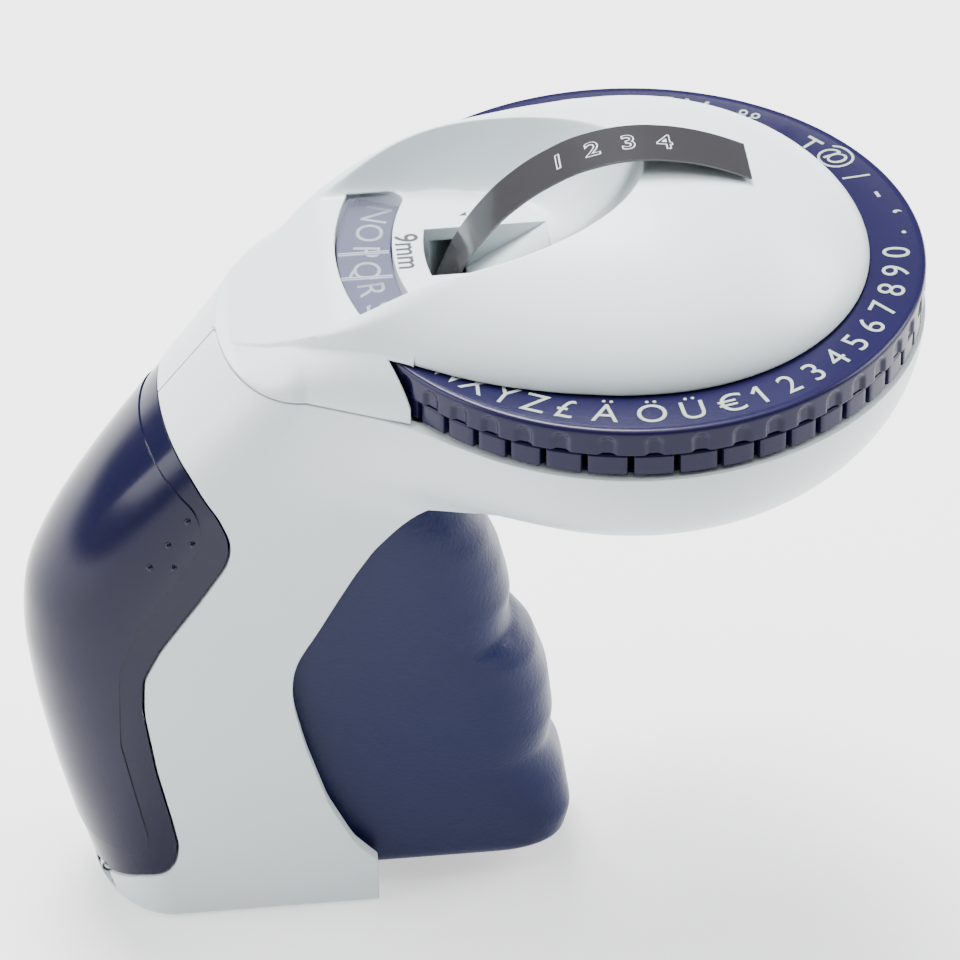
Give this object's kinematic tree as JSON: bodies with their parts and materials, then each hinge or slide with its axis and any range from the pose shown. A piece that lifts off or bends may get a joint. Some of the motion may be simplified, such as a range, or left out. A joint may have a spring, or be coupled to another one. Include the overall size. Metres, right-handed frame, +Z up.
{
  "type": "embossing label maker",
  "caption": "Hand-held embossing label maker with a turning character wheel, squeeze trigger, hinged rear tape cover and a strip of embossed tape.",
  "frame": {"origin": "bottom centre of the bounding box, on the surface that the foot stands on", "axes": "+Z up along the wheel's axis, +X forwards from the handle to the character wheel, +Y to the left side"},
  "size_m": [0.1403, 0.0896, 0.1336],
  "materials": {
    "shell": "semi-gloss pale blue-grey",
    "wheel": "satin purple-navy",
    "rear_cover": "glossy dark navy",
    "grip": "soft-touch slate navy",
    "window": "clear plastic with two moulded lines",
    "tape": "glossy dark grey-brown",
    "mechanism": "moulded dark grey",
    "steel": "plain",
    "roller": "matt",
    "core": "pale plain reel core"
  },
  "bodies": {
    "casing": {"left_shell": "shell", "right_shell": "shell", "top_cover": "shell", "dial_window": "window", "cover_hinge_pin": "steel", "trigger_pivot_pin": "steel", "mechanism_frame": "mechanism", "return_spring": "steel", "feed_axle": "steel", "pressure_axle": "steel", "tape_cradle": "mechanism", "label_tape": "tape", "wheel_bed": "mechanism", "cover_screw_1": "steel", "cover_screw_2": "steel", "cover_screw_3": "steel", "cover_screw_4": "steel", "case_screw_1": "steel", "case_screw_2": "steel"},
    "wheel": {"letter_ring": "wheel", "die_ring": "wheel", "cutter_blade": "steel"},
    "trigger": {"trigger_grip": "grip", "trigger_core": "mechanism", "feed_finger": "steel"},
    "platen": {"platen": "mechanism"},
    "rear_cover": {"rear_cover": "rear_cover"},
    "feed_roller": {"feed_roller": "roller", "ratchet_wheel": "steel"},
    "pressure_roller": {"pressure_roller": "roller"},
    "tape_roll": {"tape_roll": "tape", "tape_core": "core"}
  },
  "joints": [
    {"name": "wheel_turn", "type": "hinge", "parent": "casing", "child": "wheel", "pos_m": [0.025, 0, 0.113], "axis": [0, 0, 1], "continuous": true},
    {"name": "trigger_squeeze", "type": "hinge", "parent": "casing", "child": "trigger", "pos_m": [-0.0098, 0, 0.09], "axis": [0, 1, 0], "range_deg": [0, 11], "stiffness_Nm_per_rad": 3, "springref_deg": -3.44},
    {"name": "platen_lift", "type": "slide", "parent": "casing", "child": "platen", "axis": [0, 0, 1], "range_m": [0, 0.001], "deforming": ["return_spring"]},
    {"name": "rear_cover_open", "type": "hinge", "parent": "casing", "child": "rear_cover", "pos_m": [-0.0596, 0, 0.0052], "axis": [0, -1, 0], "range_deg": [0, 70]},
    {"name": "feed_roller_spin", "type": "hinge", "parent": "casing", "child": "feed_roller", "pos_m": [-0.026, 0, 0.09953], "axis": [0, 1, 0], "continuous": true},
    {"name": "pressure_roller_spin", "type": "hinge", "parent": "casing", "child": "pressure_roller", "pos_m": [-0.026, 0, 0.10687], "axis": [0, 1, 0], "continuous": true},
    {"name": "tape_roll_spin", "type": "hinge", "parent": "casing", "child": "tape_roll", "pos_m": [-0.05, 0, 0.052], "axis": [0, 1, 0], "continuous": true}
  ],
  "couplings": [
    {"joint": "platen_lift", "follows": "trigger_squeeze", "m_per_rad": 0.0052},
    {"joint": "pressure_roller_spin", "follows": "feed_roller_spin", "ratio": -1.6667}
  ]
}
